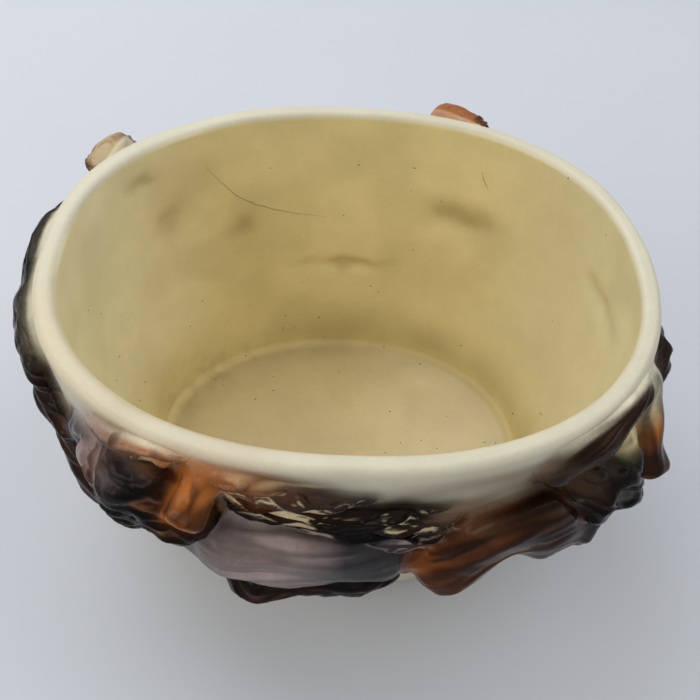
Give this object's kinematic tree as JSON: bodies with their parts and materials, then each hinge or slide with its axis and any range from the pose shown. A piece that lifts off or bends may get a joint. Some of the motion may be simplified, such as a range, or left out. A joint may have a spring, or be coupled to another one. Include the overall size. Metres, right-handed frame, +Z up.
{
  "type": "planter pot",
  "caption": "Oval glazed ceramic planter pot with a smooth open rim, tapering wall, flat base and a rustic relief of gnarled branches, bark, knots and leaves round the outside",
  "frame": {"origin": "centre of the flat underside, on the surface that the pot stands on", "axes": "+X to the right along the oval's long way, +Y to the back, +Z up out of the opening"},
  "size_m": [0.2376, 0.2038, 0.1348],
  "materials": {
    "cream_glaze": "gloss cream glaze over earthenware",
    "brown_glaze": "gloss brown glaze, sprayed",
    "black_glaze": "gloss brown black glaze, sprayed",
    "amber_glaze": "gloss amber glaze, sprayed",
    "mauve_glaze": "gloss grey mauve glaze, sprayed"
  },
  "bodies": {
    "root": {"pot_body": "cream_glaze", "front_log": "mauve_glaze", "front_twig": "brown_glaze", "left_stub": "amber_glaze", "left_burl": "black_glaze", "right_burl": "black_glaze", "right_limb": "brown_glaze", "right_stub": "amber_glaze", "right_arm": "brown_glaze", "right_bud": "amber_glaze", "right_end_plate_upper": "brown_glaze", "right_end_limb": "brown_glaze", "left_knot_heart": "mauve_glaze", "left_end_plate_upper": "black_glaze", "left_end_plate_lower": "brown_glaze", "left_end_limb": "brown_glaze", "back_limb": "brown_glaze", "back_left_stub": "amber_glaze", "back_right_stub": "amber_glaze", "back_twig": "brown_glaze", "back_leaf_upper": "amber_glaze", "back_leaf_middle": "amber_glaze", "back_leaf_lower": "amber_glaze", "front_bud_upper": "black_glaze", "front_bud_lower": "black_glaze", "front_sprout": "amber_glaze", "front_strand_1": "mauve_glaze", "front_strand_2": "black_glaze", "front_strand_3": "brown_glaze", "front_strand_4": "black_glaze", "front_strand_5": "mauve_glaze", "left_strand": "amber_glaze", "left_knot_ring": "mauve_glaze"}
  },
  "joints": []
}
